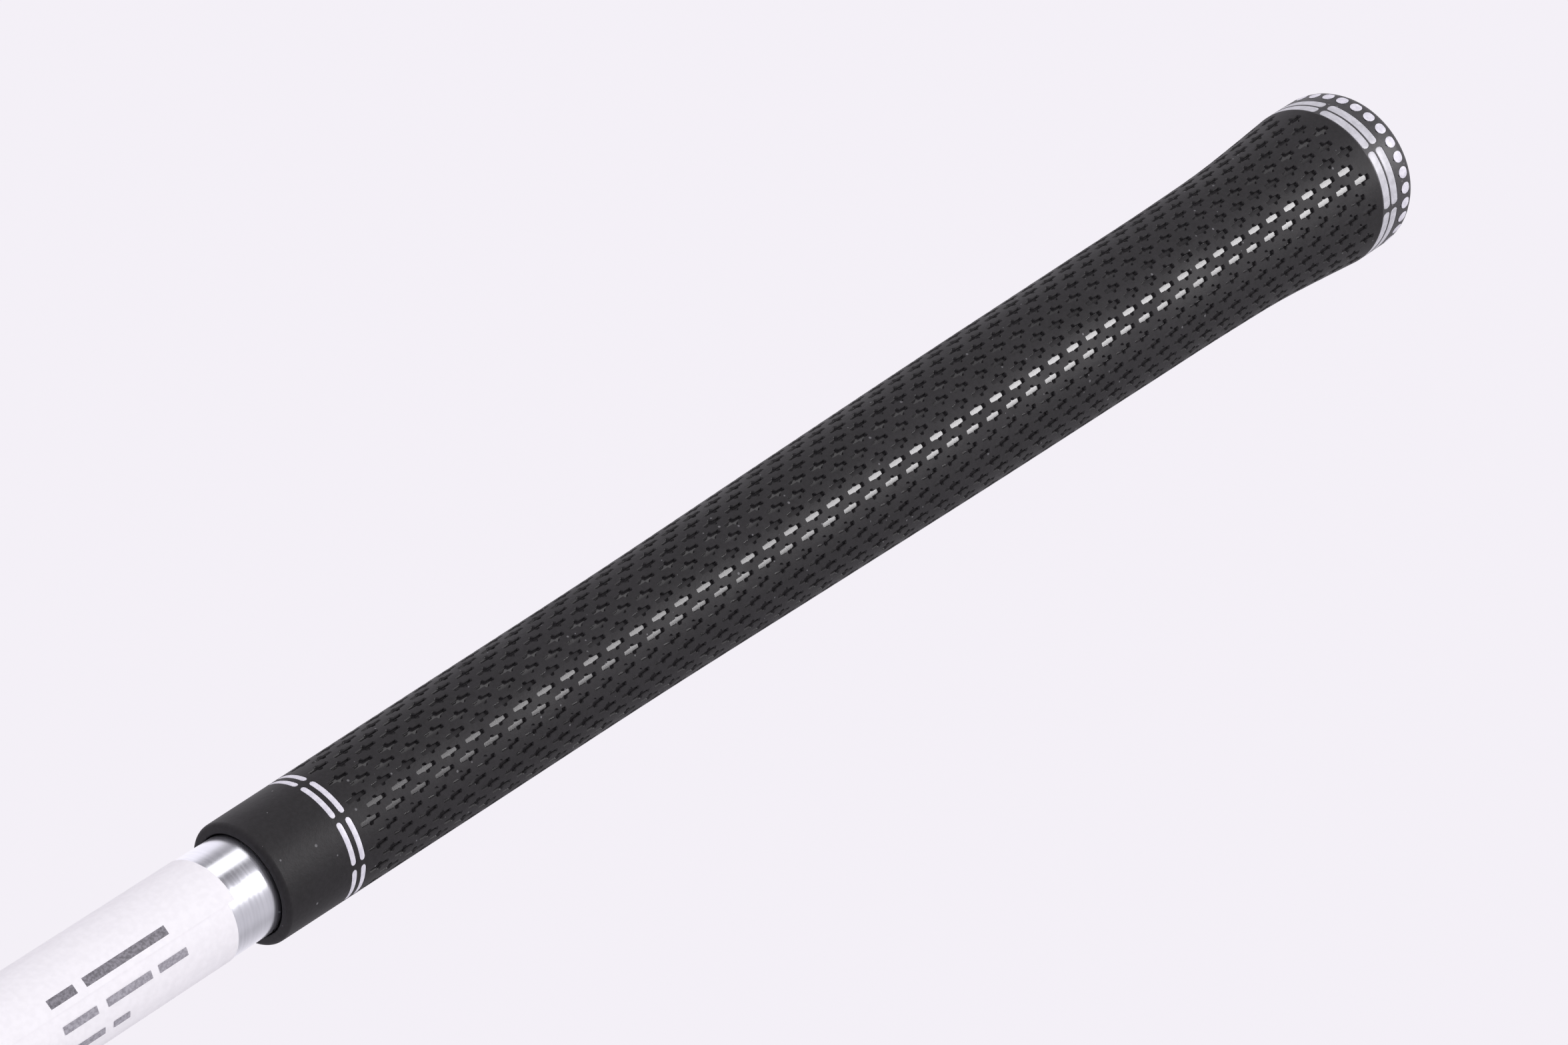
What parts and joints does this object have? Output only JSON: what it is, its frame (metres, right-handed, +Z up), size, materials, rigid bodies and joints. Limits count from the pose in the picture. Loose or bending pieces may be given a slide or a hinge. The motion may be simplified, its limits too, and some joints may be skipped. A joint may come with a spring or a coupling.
{
  "type": "fairway wood",
  "caption": "Golf fairway wood at address: rubber grip with recessed plus shapes, silver shaft, adjustable hosel adapter, hollow head with crown, face plate and screw-in weights.",
  "frame": {"origin": "the point of the sole that touches the ground at address", "axes": "+Z up, -Y the way the face looks, +X towards the heel, with the shaft leaning towards +X at the lie angle"},
  "size_m": [0.6786, 0.083, 0.9209],
  "materials": {
    "grip_rubber": "matte black rubber with recessed plus shapes",
    "cap_rubber": "satin dark grey rubber",
    "shaft_silver": "silver metallic lacquer on carbon composite",
    "paper": "white adhesive label",
    "tape": "crepe tape",
    "foam": "plain",
    "gloss_black": "polished black acetate",
    "trim": "polished",
    "adapter_grey": "dark anodised",
    "head_steel": "brushed and satin blasted",
    "face_steel": "milled satin",
    "crown_paint": "dark gloss lacquer",
    "elastomer": "soft matte",
    "screw_steel": "turned",
    "weight_metal": "turned and bead blasted"
  },
  "bodies": {
    "shaft_assembly": {"grip_sleeve": "grip_rubber", "grip_cap": "cap_rubber", "grip_tape": "tape", "butt_insert": "foam", "shaft": "shaft_silver", "shaft_label": "paper", "tip_plug": "foam", "ferrule": "gloss_black", "ferrule_ring": "trim", "adapter_ring": "adapter_grey", "adapter_sleeve": "adapter_grey"},
    "head": {"head_body": "head_steel", "face_insert": "face_steel", "crown": "crown_paint", "channel_insert": "elastomer"},
    "seat_washer": {"hosel_washer": "screw_steel"},
    "hosel_bolt": {"hosel_screw": "screw_steel", "hosel_screw_clip": "elastomer"},
    "front_plate": {"front_weight": "weight_metal", "front_weight_pad": "elastomer"},
    "front_bolt": {"front_weight_screw": "screw_steel"},
    "rear_plate": {"rear_weight": "weight_metal", "rear_weight_pad": "elastomer"},
    "rear_bolt": {"rear_weight_screw": "screw_steel"}
  },
  "joints": [
    {"name": "head_release", "type": "slide", "parent": "shaft_assembly", "child": "head", "axis": [-0.5446, 0, -0.8387], "range_m": [0, 0.045]},
    {"name": "hosel_screw_travel", "type": "slide", "parent": "head", "child": "seat_washer", "axis": [-0.5446, 0, -0.8387], "range_m": [0, 0.008]},
    {"name": "hosel_screw_turn", "type": "hinge", "parent": "seat_washer", "child": "hosel_bolt", "pos_m": [0.024, -0.02, 0], "axis": [-0.5446, 0, -0.8387], "range_deg": [0, 3600]},
    {"name": "front_weight_travel", "type": "slide", "parent": "head", "child": "front_plate", "axis": [0, 0, -1], "range_m": [0, 0.0056]},
    {"name": "front_screw_turn", "type": "hinge", "parent": "front_plate", "child": "front_bolt", "pos_m": [0, -0.0135, 0], "axis": [0, 0, -1], "range_deg": [0, 2880]},
    {"name": "rear_weight_travel", "type": "slide", "parent": "head", "child": "rear_plate", "axis": [0, 0.1736, -0.9848], "range_m": [0, 0.0056]},
    {"name": "rear_screw_turn", "type": "hinge", "parent": "rear_plate", "child": "rear_bolt", "pos_m": [0, 0.029, 0.001], "axis": [0, 0.1736, -0.9848], "range_deg": [0, 2880]}
  ],
  "couplings": [
    {"joint": "hosel_screw_turn", "follows": "hosel_screw_travel", "rad_per_m": 7854},
    {"joint": "front_screw_turn", "follows": "front_weight_travel", "rad_per_m": 8976},
    {"joint": "rear_screw_turn", "follows": "rear_weight_travel", "rad_per_m": 8976}
  ]
}
